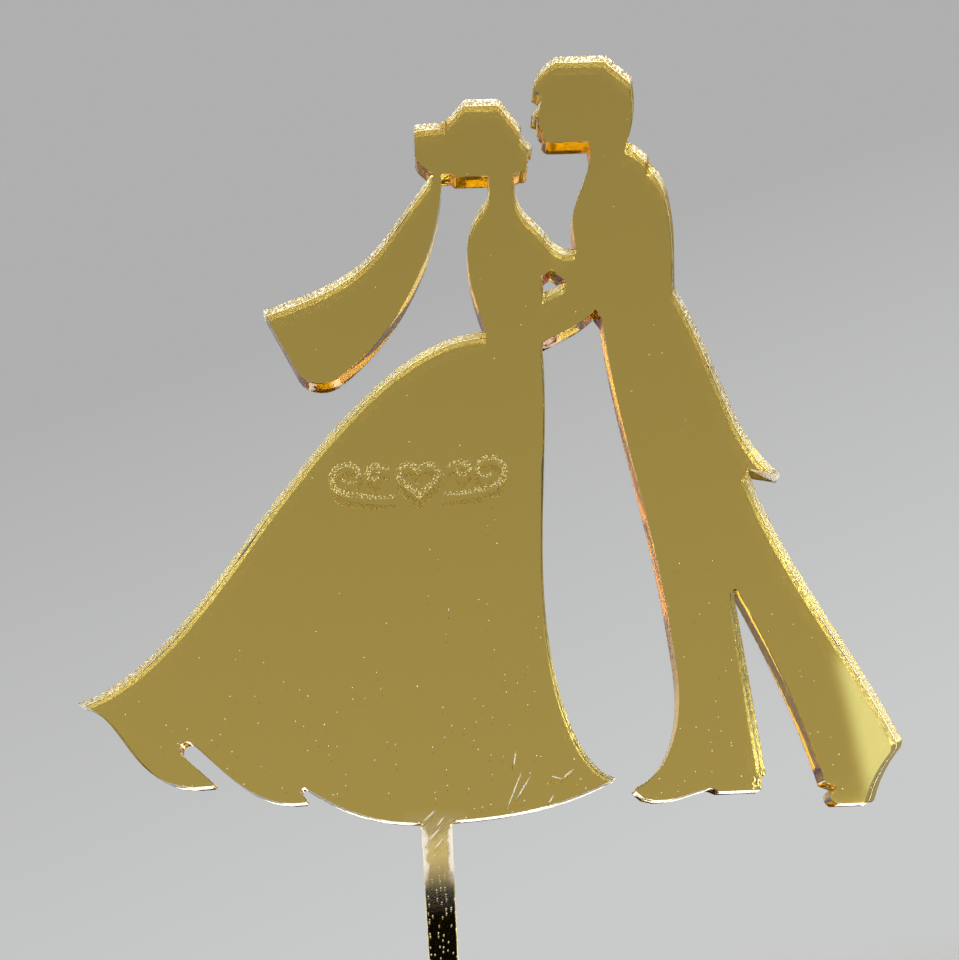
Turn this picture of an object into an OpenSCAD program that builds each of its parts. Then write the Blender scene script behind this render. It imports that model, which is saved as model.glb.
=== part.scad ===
// Cake topper: the silhouette of a bridal couple on a stake, cut in one piece from mirrored acrylic sheet.
// The outline lies in X and Z as seen from the front, and the thickness of the sheet runs along Y.
// Origin: on the centreline of the stake, level with the hem of the gown, half way through the sheet.
// Heights are above the hem, and rises and drops are from the neighbouring feature that they name.
// Bride and groom are drawn about upright lines through their collars.

/* [Sheet] */
// Thickness of the tinted clear acrylic
acrylic_t = 2.85; // [1.5:0.05:6]
// Thickness of the mirror film on the back of the acrylic
film_t = 0.05; // [0.03:0.01:0.2]
// Thickness of the protective paint on the back of the film
coat_t = 0.1; // [0.05:0.01:0.4]
// Longest straight facet along a curved edge
facet = 1.5; // [0.6:0.1:3]

/* [Stake] */
// Length of the stake below the hem
stake_len = 60; // [25:1:120]
// Width of the stake at the hem
stake_w = 4; // [3:0.1:8]
// Width of the stake where its point begins
stake_tip_w = 2.4; // [1.5:0.1:3]
// Length of the pointed end
stake_point = 5; // [2:0.5:15]

/* [Gown] */
// Distance from the stake to the middle of the waist
waist_x = 16.7; // [15:0.1:18]
// Width of the waist
waist_w = 9; // [7:0.5:11]
// Height of the waist seam at the back
waist_h = 76; // [70:0.5:80]
// Drop of the waist seam from back to front
waist_drop = 4; // [1:0.5:6]
// Reach of the train behind the stake
train_x = 47.2; // [38:0.2:60]
// Height of the tip of the train
train_h = 18.5; // [14:0.5:24]
// Distance behind the stake at which the dome of the gown turns into its flare
flare_x = 21.5; // [18:0.5:26]
// Height at which the dome turns into the flare
flare_h = 47; // [42:0.5:52]
// Reach of the front tip of the hem
front_tip_x = 24; // [20:0.2:25]
// Height of the front tip of the hem
front_tip_h = 3.9; // [2:0.1:6]
// Distance before the stake at which the gown is narrowest, below the knee
knee_x = 17; // [14:0.1:18]
// Height of that narrowest place
knee_h = 26; // [20:0.5:34]
// Distance behind the stake at which the back fold of the hem ends
back_fold_x = 29; // [27:0.2:32]
// Height of the end of the back fold
back_fold_h = 6.5; // [5:0.1:8]
// Length of the slit above the back fold
back_slit = 5.7; // [3:0.1:7]
// Width of the slit above the back fold
back_slit_w = 1.9; // [1:0.1:2.5]
// Distance behind the stake at which the middle fold of the hem ends
mid_fold_x = 16.9; // [14:0.1:19]
// Height of the end of the middle fold
mid_fold_h = 3.6; // [2.5:0.1:4.5]
// Length of the slit above the middle fold
mid_slit = 0.9; // [0.5:0.1:2]
// Width of the slit above the middle fold
mid_slit_w = 0.9; // [0.6:0.1:1.5]
// Radius of the ends of the folds
fold_r = 0.3; // [0.1:0.05:0.5]

/* [Veil] */
// Reach of the tip of the veil behind the stake
veil_x = 24; // [20:0.5:30]
// Fall of the tip of the veil below its root
veil_fall = 28.4; // [24:0.2:32]
// Distance behind the stake at which the veil hangs lowest
veil_low_x = 14.5; // [13:0.1:16]
// Fall of the lowest place on the veil below its root
veil_low_fall = 43; // [39:0.2:47]
// Radius of the lower corner of the veil
veil_r = 4.3; // [3:0.1:5]
// Width of the veil where it leaves the hair
veil_root_w = 1.7; // [1:0.1:2.5]
// Distance of the root of the veil behind the neck
veil_root_x = 10.5; // [9.5:0.1:11.5]
// Rise of the root of the veil above the underside of the hair
veil_root_rise = 0.8; // [0.6:0.1:1.2]

/* [Bride] */
// Distance from the stake to the middle of the bride's neck
bride_x = 17.5; // [16:0.1:19]
// Depth of the back behind the neck
bride_back_w = 7.2; // [6:0.1:8.5]
// Rise of the deepest place on the back above the waist seam
bride_back_rise = 14.5; // [12:0.5:17]
// Depth of the shoulder behind the neck
bride_shoulder_w = 4; // [3.4:0.1:5]
// Drop of the shoulder below the neck
bride_shoulder_drop = 3.4; // [2.6:0.1:5]
// Depth of the bust before the neck
bust_w = 5.8; // [5:0.1:7]
// Drop of the bust below the neck
bust_drop = 8.3; // [7:0.1:10]
// Width of the neck
bride_neck_w = 4.5; // [3.8:0.1:5.5]
// Rise of the narrowest part of the neck above the waist seam
bride_neck_rise = 30; // [27:0.5:34]
// Rise of the underside of the hair above that place
bride_hair_rise = 3.6; // [2.5:0.1:5]
// Depth of the back of the head behind the neck
bride_head_w = 9.5; // [8.8:0.1:10.4]
// Rise of the chin above the underside of the hair
bride_chin_rise = 0.8; // [0.4:0.1:1.6]
// Height of the face from chin to brow
bride_face_h = 10.6; // [9.5:0.1:12]
// Depth of the brow before the neck
bride_brow_w = 4.8; // [4.4:0.1:5.4]
// Rise of the hairline above the brow
bride_hairline_rise = 2; // [1.4:0.1:3]
// Depth of the hairline before the neck
bride_hairline_w = 3.9; // [3.4:0.1:4.4]
// Rise of the crown above the hairline
bride_crown_rise = 5.6; // [4:0.1:8]
// Width of the flat crown of the hair
bride_crown_w = 6.4; // [5:0.1:7.5]
// Depth of the middle of the crown behind the neck
bride_crown_x = 2; // [1.5:0.1:2.5]
// Height of the slope behind the crown
bride_slope_h = 5.8; // [5:0.1:7]
// Chamfer under the back of the hair
hair_chamfer = 1.4; // [0.8:0.1:1.8]
// Width of the bun behind the head
bun_w = 5.6; // [4:0.1:7]
// Rise of the top of the bun above the underside of the hair
bun_rise = 13; // [11.5:0.1:13.6]
// Height of the straight back of the bun
bun_back_h = 7.6; // [6:0.1:8.5]
// Radius of the upper corner of the bun
bun_r = 0.8; // [0.3:0.1:1.5]

/* [Hands] */
// Reach of the bride's hand before her neck
hand_x = 9.7; // [8.8:0.1:10.8]
// Drop of the joined hands below the bust
hand_drop = 5.2; // [4:0.1:6]
// Rise of the groom's forearm above the front of the waist seam
forearm_rise = 1.4; // [0.8:0.1:3]
// Rise of the inside of the groom's elbow along his forearm
elbow_rise = 6.1; // [5:0.1:7]
// Width of the inside of the elbow
elbow_w = 0.9; // [0.5:0.1:2]
// Drop from the inside of the elbow to the front edge of the coat
elbow_drop = 1.9; // [1:0.1:3]
// Distance from the neck to the back of the gap between the arms
arm_gap_x = 5.1; // [4:0.1:6]
// Width of the gap between the arms
arm_gap_w = 4; // [2:0.1:5]
// Height of the gap between the arms
arm_gap_h = 4.7; // [3:0.1:5.5]
// Drop of the bottom of that gap below the joined hands
arm_gap_drop = 9; // [8:0.1:10]

/* [Groom] */
// Distance from the bride's neck to the middle of the groom's collar
couple_gap = 20.5; // [19:0.1:23]
// Height of the nape
nape_h = 116.9; // [110:0.1:124]
// Depth of the nape behind the collar
nape_w = 3.5; // [3:0.1:4.5]
// Drop of the throat below the nape
throat_drop = 2.5; // [2.1:0.1:4]
// Depth of the throat before the collar
throat_w = 3.6; // [2.8:0.1:4.4]
// Rise of the chin above the nape
groom_chin_rise = 0.3; // [0:0.1:1]
// Height of the face from chin to brow
groom_face_h = 12.6; // [11.5:0.1:14]
// Gap between the brows of bride and groom
brow_gap = 4.1; // [3.6:0.1:5]
// Rise of the tip of the fringe above the brow
fringe_rise = 1; // [0.5:0.1:2]
// Overhang of the fringe before the brow
fringe_w = 1; // [0.5:0.1:1.5]
// Rise of the crown above the fringe
groom_crown_rise = 8.7; // [7:0.1:11]
// Width of the flat crown of the hair
groom_crown_w = 9.6; // [8:0.1:11]
// Distance of the middle of the crown before the collar
groom_crown_x = 2.4; // [1.6:0.1:3]
// Depth of the back of the head behind the collar
groom_head_w = 6.7; // [6:0.1:8]
// Height of the slope behind the crown
groom_slope_h = 6; // [4:0.1:8]
// Depth of the collar at the back
collar_w = 6.8; // [6:0.1:7.6]
// Drop of the top edge of the collar below the nape
collar_drop = 3.6; // [2.6:0.1:5]
// Depth of the collar's stand, from its edge to the shoulder
collar_stand = 1.9; // [1:0.1:3]
// Depth of the shoulder blades behind the collar
blade_w = 9; // [8:0.1:11]
// Drop of the shoulder blades below the edge of the collar
blade_drop = 11.3; // [9:0.1:14]
// Depth of the chest before the collar
chest_w = 8.9; // [8:0.1:9.8]
// Rise of the chest above the joined hands
chest_rise = 4; // [2:0.1:6]
// Depth of the waist of the coat behind the collar
coat_waist_w = 6.9; // [6:0.1:8]
// Height of the waist of the coat
coat_waist_h = 83.7; // [80:0.1:87]
// Depth of the hip of the coat behind the collar
coat_hip_w = 12.1; // [11:0.1:13.5]
// Height of the hip of the coat
coat_hip_h = 60; // [56:0.5:66]
// Reach of the tip of the coat tail behind the collar
tail_w = 17.6; // [15.5:0.1:21]
// Height of the tip of the coat tail
tail_h = 47.3; // [44:0.1:50]
// Rise of the underside of the tail towards the trousers
tail_rise = 1.2; // [0.4:0.1:2.5]
// Depth of the seat of the trousers behind the collar
seat_w = 12.5; // [11.5:0.1:13.5]
// Depth of the front edge of the coat before the collar
coat_front_w = 6.3; // [5.5:0.1:7]

/* [Legs] */
// Depth of the front shin before the collar
shin_w = 3.5; // [2.5:0.1:4.5]
// Height at which the front leg is slimmest
shin_h = 24; // [20:0.5:30]
// Gap between the front tip of the hem and the groom's toe
toe_gap = 2.2; // [1:0.1:4]
// Length of the front shoe from its toe to its instep
instep_len = 4.4; // [3.5:0.1:5.5]
// Height of the front instep
instep_h = 5.4; // [4.6:0.1:7]
// Height of the middle of the front toe
toe_h = 2.2; // [1.8:0.1:2.8]
// Radius of the tip of the front toe
toe_r = 0.4; // [0.2:0.05:0.6]
// Length of the front toe, to where its sole lies lowest
toe_len = 4; // [3:0.1:5]
// Height of the sole under the front foot
sole_h = 0.7; // [0:0.1:1]
// Height of the arch before the front heel
arch_h = 1.8; // [1.5:0.1:2.2]
// Length of the arch before the front heel
arch_len = 1.6; // [1:0.1:2.5]
// Depth of the front heel behind the collar
front_heel_w = 5; // [4.2:0.1:5.6]
// Height of the underside of the front heel
front_heel_h = 1.1; // [0.6:0.1:1.4]
// Length of the front heel
front_heel_len = 5; // [4:0.1:6]
// Overhang of the front trouser hem behind the shoe
hem_step = 0.7; // [0.2:0.1:1.2]
// Height of the hem of the front trouser leg
cuff_h = 2.9; // [2.5:0.1:5]
// Depth of the back of the front leg at its hem, behind the collar
front_leg_w = 6; // [5.8:0.1:6.6]
// Depth of the parting of the legs behind the collar
crotch_w = 6.9; // [6.6:0.1:7.6]
// Height of the parting of the legs
crotch_h = 29.2; // [22:0.2:36]
// Radius of the parting of the legs
crotch_r = 0.35; // [0.2:0.05:0.6]
// Depth of the front of the rear leg at its hem, behind the collar
rear_leg_w = 13.8; // [13:0.1:14.6]
// Height of the front of the rear trouser hem
rear_cuff_h = 1.4; // [1:0.1:2.5]
// Depth of the notch between the rear trouser hem and the shoe
toe_notch = 1.3; // [0.8:0.1:2]
// Drop of that notch below the hem
toe_notch_drop = 0.6; // [0.2:0.1:0.8]
// Depth of the rear toe behind the collar
rear_toe_w = 14.1; // [13.8:0.1:14.4]
// Radius of the rear toe
rear_toe_r = 1.1; // [0.6:0.1:1.4]
// Drop of the rear sole below the hem of the gown
rear_sole = 1.5; // [0.6:0.1:2.5]
// Depth of the back of the rear sole behind the collar
ball_w = 19.1; // [18:0.1:20]
// Radius of the back of the rear sole
ball_r = 0.9; // [0.5:0.1:1.5]
// Depth of the underside of the lifted hem behind the collar
lifted_w = 25; // [23:0.1:27]
// Height of the underside of the lifted hem
lifted_h = 5.2; // [4:0.1:7]
// Radius of the corner of the lifted hem
lifted_r = 1.5; // [0.8:0.1:2]

/* [Hidden] */
sheet_t = acrylic_t + film_t + coat_t;
bride_back_h = waist_h + bride_back_rise;
bride_neck_h = waist_h + bride_neck_rise;
bride_shoulder_h = bride_neck_h - bride_shoulder_drop;
bust_h = bride_neck_h - bust_drop;
bride_hair_h = bride_neck_h + bride_hair_rise;
bride_chin_h = bride_hair_h + bride_chin_rise;
bride_brow_h = bride_chin_h + bride_face_h;
bride_hairline_h = bride_brow_h + bride_hairline_rise;
bride_crown_h = bride_hairline_h + bride_crown_rise;
bun_top_h = bride_hair_h + bun_rise;
veil_root_h = bride_hair_h + veil_root_rise;
hand_h = bust_h - hand_drop;
forearm_h = waist_h - waist_drop + forearm_rise;
elbow_h = forearm_h + elbow_rise;
groom_x = bride_x + couple_gap;
throat_h = nape_h - throat_drop;
groom_chin_h = nape_h + groom_chin_rise;
groom_brow_h = groom_chin_h + groom_face_h;
fringe_h = groom_brow_h + fringe_rise;
groom_crown_h = fringe_h + groom_crown_rise;
collar_h = nape_h - collar_drop;
toe_x = front_tip_x + toe_gap;
// How far neighbouring shapes of the outline reach into each other
lap = 2;

// Unit vector at a heading, in degrees counted up from +X
function way(heading) = [cos(heading), sin(heading)];

// Point at the share t along a cubic curve
function bezier(a, b, c, d, t) =
    pow(1 - t, 3) * a + 3 * t * pow(1 - t, 2) * b + 3 * t * t * (1 - t) * c + pow(t, 3) * d;

// Edge from a to b, without b itself, that leaves a at one heading and reaches b at another
function curve(a, leave, b, arrive, pull_a = 0.36, pull_b = 0.36) =
    let (chord = norm(b - a),
         c = a + chord * pull_a * way(leave),
         d = b - chord * pull_b * way(arrive),
         steps = max(3, ceil(chord / facet)))
    [for (i = [0:steps - 1]) bezier(a, c, d, b, i / steps)];

// Arc of radius r that starts at p along one heading and turns to another
function turn(p, from, to, r) =
    let (side = sign(to - from),
         centre = p + side * r * way(from + 90),
         steps = max(4, ceil(abs(to - from) / 15)))
    [for (i = [0:steps]) centre + r * way(from - side * 90 + (to - from) * i / steps)];

// Last point of a list
function last(points) = points[len(points) - 1];

// End of a fold in the hem and the round-ended slit above it
function fold(tip, heading, slant, length, width) =
    let (end = turn(tip, heading, slant, fold_r),
         root = last(end) + length * way(slant))
    concat(end, turn(root, slant, slant - 180, width / 2));

// Smooth edge through a list of points, without the last one
function through(points) =
    [for (i = [0:len(points) - 2], t = [0, 1 / 3, 2 / 3])
        let (a = points[i],
             b = points[i + 1],
             before = points[max(i - 1, 0)],
             after = points[min(i + 2, len(points) - 1)])
        bezier(a, a + (b - before) / 6, b - (after - a) / 6, b, t)];

// Side view of a plain face from brow to chin, in the thirds of a drawing manual: the nose ends half way
// down from the brow, and the lips part a third of the way from there to the chin.
// Each pair is a depth before the brow and a drop below it, as shares of the height from brow to chin.
FACE = [[0, 0], [-0.04, 0.1], [0.03, 0.24], [0.14, 0.41], [0.14, 0.46], [0.05, 0.51], [0.045, 0.56],
        [0.075, 0.62], [0.045, 0.665], [0.06, 0.72], [0.01, 0.8], [0.03, 0.9], [-0.03, 0.99], [-0.15, 1]];
function face(brow, chin_h, facing) =
    through([for (p = FACE) brow + (brow[1] - chin_h) * [facing * p[0], -p[1]]]);

// Reverse order of a list: the shapes of the outline all run counter-clockwise
function reversed(points) = [for (i = [len(points) - 1:-1:0]) points[i]];

module stake() {
    point_h = stake_point - stake_len;
    polygon([[-stake_w / 2, lap], [-stake_w / 2, 0], [-stake_tip_w / 2, point_h], [0, -stake_len],
             [stake_tip_w / 2, point_h], [stake_w / 2, 0], [stake_w / 2, lap]]);
}

module gown() {
    waist_back = [waist_x - waist_w / 2, waist_h];
    waist_front = [waist_x + waist_w / 2, waist_h - waist_drop];
    flare = [-flare_x, flare_h];
    train = [-train_x, train_h];
    back_fold = [-back_fold_x, back_fold_h];
    mid_fold = [-mid_fold_x, mid_fold_h];
    front_tip = [front_tip_x, front_tip_h];
    knee = [knee_x, knee_h];
    fall = 235;
    drape = 4;
    back_edge = fold(back_fold, drape, 138, back_slit, back_slit_w);
    mid_edge = fold(mid_fold, drape, 132, mid_slit, mid_slit_w);
    polygon(concat(
        curve(waist_back, 180, flare, fall, 0.3, 0.3),
        curve(flare, fall, train, 194, 0.28, 0.28),
        curve(train, -18, back_fold, drape, 0.36, 0.5),
        back_edge,
        curve(last(back_edge), -42, mid_fold, drape),
        mid_edge,
        curve(last(mid_edge), -36, [0, 0], 0),
        curve([0, 0], 0, front_tip, 23),
        curve(front_tip, 162, knee, 90, 0.25),
        curve(knee, 90, waist_front, 88, 0.3),
        [waist_front]));
}

module veil() {
    root_front = [bride_x - veil_root_x, veil_root_h];
    root_back = root_front - [veil_root_w, 0];
    tip = [-veil_x, veil_root_h - veil_fall];
    corner = [-veil_low_x, veil_root_h - veil_low_fall + veil_r];
    hem = -63;
    rise = 40;
    corner_edge = turn(corner + veil_r * way(hem - 90), hem, rise, veil_r);
    polygon(concat(
        curve(root_back, 236, tip, 200, 0.5, 0.5),
        [tip],
        corner_edge,
        curve(last(corner_edge), rise, root_front, 86, 0.3),
        [root_front, root_front + [lap, lap]]));
}

module bodice() {
    waist_back = [waist_x - waist_w / 2, waist_h];
    waist_front = [waist_x + waist_w / 2, waist_h - waist_drop];
    back = [bride_x - bride_back_w, bride_back_h];
    shoulder = [bride_x - bride_shoulder_w, bride_shoulder_h];
    nape = [bride_x - bride_neck_w / 2, bride_neck_h];
    throat = [bride_x + bride_neck_w / 2, bride_neck_h];
    bust = [bride_x + bust_w, bust_h];
    neck_top = [0, bride_hair_h - bride_neck_h + lap];
    polygon(reversed(concat(
        curve(waist_back, 100, back, 90),
        curve(back, 90, shoulder, 57),
        curve(shoulder, 57, nape, 80),
        [nape, nape + neck_top, throat + neck_top],
        curve(throat, -92, bust, -52),
        [bust, waist_front, waist_front - [lap, lap], waist_back + [lap, -lap]])));
}

module bride_head() {
    crown = [bride_x - bride_crown_x, bride_crown_h];
    slope = [bride_x - bride_head_w, bride_crown_h - bride_slope_h];
    hairline = [bride_x + bride_hairline_w, bride_hairline_h];
    brow = [bride_x + bride_brow_w, bride_brow_h];
    throat = [bride_x + bride_neck_w / 2, bride_hair_h];
    polygon(reversed(concat(
        [[slope[0] + hair_chamfer, bride_hair_h], [slope[0], bride_hair_h + hair_chamfer], slope],
        [crown - [bride_crown_w / 2, 0], crown + [bride_crown_w / 2, 0], hairline],
        face(brow, bride_chin_h, 1),
        [throat])));
}

module bun() {
    inside = bride_x - bride_head_w + lap;
    left = bride_x - bride_head_w - bun_w;
    low = [left, bun_top_h - bun_back_h];
    root = [bride_x - veil_root_x - veil_root_w, veil_root_h];
    polygon(concat(
        [[inside, bun_top_h + lap / 3]],
        turn([left + bun_r, bun_top_h], 190, 270, bun_r),
        curve(low, -86, root, -60),
        [root, [inside, veil_root_h]]));
}

module hands() {
    bust = [bride_x + bust_w, bust_h];
    hand = [bride_x + hand_x, hand_h];
    forearm = [waist_x + waist_w / 2, forearm_h];
    coat_edge = groom_x - coat_front_w;
    elbow = [coat_edge - elbow_w, elbow_h];
    polygon(reversed(concat(
        curve(bust, -60, hand, -25),
        [hand, [groom_x - chest_w + lap, hand_h], [coat_edge + lap, elbow_h]],
        [[coat_edge, elbow_h - elbow_drop]],
        curve(elbow, 226, forearm, 208),
        [forearm, [bride_x, forearm_h], [bride_x, bust_h]])));
}

module arm_gap() {
    low = [bride_x + arm_gap_x, hand_h - arm_gap_drop];
    polygon([low, low + [arm_gap_w, arm_gap_h * 0.45],
             low + [arm_gap_w * 0.45, arm_gap_h], low + [0, arm_gap_h * 0.7]]);
}

module groom_head() {
    crown = [groom_x - groom_crown_x, groom_crown_h];
    crown_front = crown - [groom_crown_w / 2, 0];
    slope = [groom_x + groom_head_w, groom_crown_h - groom_slope_h];
    nape = [groom_x + nape_w, nape_h];
    brow = [bride_x + bride_brow_w + brow_gap, groom_brow_h];
    fringe = [brow[0] - fringe_w, fringe_h];
    throat = [groom_x - throat_w, throat_h];
    polygon(reversed(concat(
        curve(fringe, 83, crown_front, 36),
        [crown_front, crown + [groom_crown_w / 2, 0]],
        curve(slope, -92, nape, -112),
        [nape, nape - [0, lap], throat, [throat[0], groom_chin_h]],
        reversed(face(brow, groom_chin_h, -1)))));
}

module coat() {
    nape = [groom_x + nape_w, nape_h];
    collar = [groom_x + collar_w, collar_h];
    blade = [groom_x + blade_w, collar_h - blade_drop];
    waist = [groom_x + coat_waist_w, coat_waist_h];
    hip = [groom_x + coat_hip_w, coat_hip_h];
    tail = [groom_x + tail_w, tail_h];
    seat = [groom_x + seat_w, tail_h + tail_rise];
    front = [groom_x - coat_front_w, elbow_h - elbow_drop];
    chest = [groom_x - chest_w, hand_h + chest_rise];
    throat = [groom_x - throat_w, throat_h];
    polygon(reversed(concat(
        curve(nape, -30, collar, -52),
        [collar],
        curve(collar - [0, collar_stand], -48, blade, -90),
        curve(blade, -90, waist, -98),
        curve(waist, -73, hip, -79),
        curve(hip, -79, tail, -48),
        [tail, seat, [groom_x, tail_h], front, [chest[0], hand_h - lap]],
        curve(chest, 90, throat, 80),
        [throat])));
}

module trousers() {
    front = [groom_x - coat_front_w, elbow_h - elbow_drop];
    shin = [groom_x - shin_w, shin_h];
    instep = [toe_x + instep_len, instep_h];
    toe_edge = turn([toe_x + toe_r, toe_h + toe_r], 200, 300, toe_r);
    sole = [toe_x + toe_len, sole_h];
    heel = [groom_x + front_heel_w, front_heel_h];
    arch = [heel[0] - front_heel_len - arch_len, arch_h];
    cuff = [groom_x + front_leg_w, cuff_h];
    stride = -72;
    crotch_edge = turn([groom_x + crotch_w - crotch_r, crotch_h - crotch_r], 88, stride, crotch_r);
    rear_cuff = [groom_x + rear_leg_w, rear_cuff_h];
    notch = rear_cuff + [toe_notch, -toe_notch_drop];
    rear_toe = [groom_x + rear_toe_w, -rear_sole];
    shank = 62;
    ball_edge = turn([groom_x + ball_w, -rear_sole], 0, shank, ball_r);
    counter = 41;
    calf = 105;
    lifted_edge = turn([groom_x + lifted_w, lifted_h], counter, calf, lifted_r);
    seat = [groom_x + seat_w, tail_h + tail_rise];
    polygon(concat(
        curve(front, -91, shin, -90),
        curve(shin, -90, instep, -128),
        curve(instep, -132, toe_edge[0], 200),
        toe_edge,
        curve(last(toe_edge), -60, sole, 2),
        curve(sole, 2, arch, 6),
        curve(arch, -20, heel - [front_heel_len, 0], -10),
        [heel, cuff - [hem_step, 0], cuff],
        crotch_edge,
        curve(last(crotch_edge), stride, rear_cuff, -83),
        [rear_cuff],
        curve(notch, 215, rear_toe + [0, rear_toe_r], -90),
        curve(rear_toe + [0, rear_toe_r], -90, rear_toe + [rear_toe_r, 0], 0),
        ball_edge,
        curve(last(ball_edge), shank, lifted_edge[0], counter),
        lifted_edge,
        curve(last(lifted_edge), calf, seat, 96, 0.32, 0.32),
        [seat]));
}

module outline() {
    difference() {
        union() {
            stake();
            gown();
            veil();
            bodice();
            bride_head();
            bun();
            hands();
            groom_head();
            coat();
            trousers();
        }
        arm_gap();
    }
}

// One layer of the sheet, from its front plane backwards
module layer(front, thickness) {
    translate([0, front + thickness, 0])
        rotate([90, 0, 0])
            linear_extrude(thickness)
                outline();
}

module acrylic_panel() {
    color("goldenrod")
        layer(-sheet_t / 2, acrylic_t);
}

module mirror_film() {
    color("gold")
        layer(-sheet_t / 2 + acrylic_t, film_t);
}

module back_coat() {
    color("gray")
        layer(sheet_t / 2 - coat_t, coat_t);
}

acrylic_panel();
mirror_film();
back_coat();
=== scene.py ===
import math

import bpy
from bpy.props import FloatProperty, FloatVectorProperty, PointerProperty
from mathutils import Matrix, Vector, noise
from mathutils.kdtree import KDTree


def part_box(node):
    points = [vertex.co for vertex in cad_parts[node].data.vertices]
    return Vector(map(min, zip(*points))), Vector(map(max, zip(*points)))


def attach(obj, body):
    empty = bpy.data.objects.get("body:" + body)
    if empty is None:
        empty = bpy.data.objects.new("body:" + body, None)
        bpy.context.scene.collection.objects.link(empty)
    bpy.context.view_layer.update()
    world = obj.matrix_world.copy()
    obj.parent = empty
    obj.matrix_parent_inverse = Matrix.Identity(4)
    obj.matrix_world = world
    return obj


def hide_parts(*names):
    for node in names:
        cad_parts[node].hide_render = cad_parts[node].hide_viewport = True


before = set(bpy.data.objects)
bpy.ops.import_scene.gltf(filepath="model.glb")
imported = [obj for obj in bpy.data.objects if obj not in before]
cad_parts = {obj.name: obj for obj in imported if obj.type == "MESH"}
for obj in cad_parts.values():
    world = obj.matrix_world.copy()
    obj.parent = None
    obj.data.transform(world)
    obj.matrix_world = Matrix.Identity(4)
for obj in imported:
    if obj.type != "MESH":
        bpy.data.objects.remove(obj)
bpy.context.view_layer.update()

bl_info = {
    "name": "Wedding Cake Topper",
    "version": (1, 0, 0),
    "blender": (4, 5, 0),
    "location": "View3D > Sidebar > Topper",
    "description": "A bride and groom cake topper, laser cut from gold mirror acrylic",
    "category": "Object",
}

MM = 0.001

# The clear layer's front (towards -Y) and back, and the floor that the stake's point touches
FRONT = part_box("acrylic_panel")[0].y
CLEAR_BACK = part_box("acrylic_panel")[1].y
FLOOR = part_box("acrylic_panel")[0].z

# Points closer than this are on the same plane, and faces within this angle are one flat
TOUCH = 0.001 * MM
ONE_FLAT = math.radians(0.3)


def linear(hex_colour):
    """An sRGB colour such as "#FFC832" as the linear red, green, blue and alpha that Blender works in."""
    parts = [int(hex_colour[k:k + 2], 16) / 255 for k in (1, 3, 5)]
    return [c / 12.92 if c <= 0.04045 else ((c + 0.055) / 1.055) ** 2.4 for c in parts] + [1.0]


def length(name, default, description):
    return FloatProperty(name=name, description=description, default=default, min=0.0, precision=6,
                         subtype="DISTANCE", unit="LENGTH")


def colour(name, hex_colour, description):
    return FloatVectorProperty(name=name, description=description, default=linear(hex_colour), size=4,
                               min=0.0, max=1.0, subtype="COLOR")


class TopperSheet(bpy.types.PropertyGroup):
    """Sizes of the cut and of the engraving."""
    edge_round: length("Edge round", 0.09 * MM, "Softening that the laser leaves on the front edge")
    back_round: length("Back edge round", 0.04 * MM, "Softening of the painted edge at the back")
    bond: length("Bond", 0.015 * MM, "How far the clear acrylic reaches into the mirror layer")
    mirror_gap: length("Mirror gap", 0.09 * MM, "How far the laser's heat draws the mirror back from the cut")
    melt_reach: length("Melt reach", 1.4 * MM, "How far melted beads reach from an inside corner")
    bead_size: length("Bead size", 0.35 * MM, "Size of the melted beads in an inside corner")
    bead_depth: length("Bead depth", 0.22 * MM, "Depth between the melted beads")
    ripple_step: length("Ripple step", 0.5 * MM, "Spacing of the laser's ripples along the cut")
    ripple_depth: length("Ripple depth", 0.07 * MM, "Depth of the laser's ripples in the walls")
    groove_width: length("Groove width", 1.1 * MM, "Width of the engraved line at its fullest")
    groove_depth: length("Groove depth", 0.07 * MM, "Depth of the engraved line at its fullest")
    pit_size: length("Pit size", 0.4 * MM, "Size of the melted pits in the engraved line")
    pit_depth: length("Pit depth", 0.07 * MM, "Depth of the melted pits in the engraved line")
    flourish_height: length("Flourish height", 49.5 * MM, "Height of the engraving's centre above the hem")
    haze_width: length("Haze width", 1.6 * MM, "How far the laser's smoke reaches in from the cut")
    grain_step: length("Grain step", 0.4 * MM, "Spacing of the fine grain on the cut walls")
    grain_depth: length("Grain depth", 0.045 * MM, "Depth of the fine grain on the cut walls")
    pit_grain: length("Pit grain", 0.33 * MM, "Spacing of the grains that glint in the engraving")
    fleck_step: length("Fleck step", 0.55 * MM, "Spacing of the places where a dust fleck can lie")
    scratch_width: length("Scratch width", 0.11 * MM, "Half width of a scratch")
    hatch_step: length("Hatch step", 0.3 * MM, "Spacing of the rubbed hatch on the stake's neck")
    # The neck has a scratched hatch, and a painted highlight along both its sides
    neck_reach: length("Neck reach", 4.0 * MM, "How far the rubbed neck reaches to either side")


class TopperFinish(bpy.types.PropertyGroup):
    """Colours of the sheet's layers."""
    tint: colour("Acrylic tint", "#F8EA4B", "What the amber acrylic lets through")
    tint_depth: FloatProperty(name="Tint depth", description="How quickly the tint builds up, per metre",
                              default=150.0, min=0.0)
    metal: colour("Mirror metal", "#F7E295", "The gold-lacquered metal layer behind the acrylic")
    frost: colour("Frost", "#FFEEA6", "The pitted grain of the engraving")
    # Painted shade: the darker colour mixed into the cut walls that face down; they are not browned by heat
    painted_low_wall_shade: colour("Painted shade, low walls", "#6E6A60", "What walls that face down let through, browned by heat")
    paint: colour("Backing paint", "#8F9090", "The paint over the mirror's back")
    smoke: colour("Smoke haze", "#5E5547", "Laser smoke settled along the cut")
    # Also the colour of the painted highlights along both sides of the stake's neck
    dust_and_highlight: colour("Dust", "#FFF8E4", "Flecks and scratches on the polished face")


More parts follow.
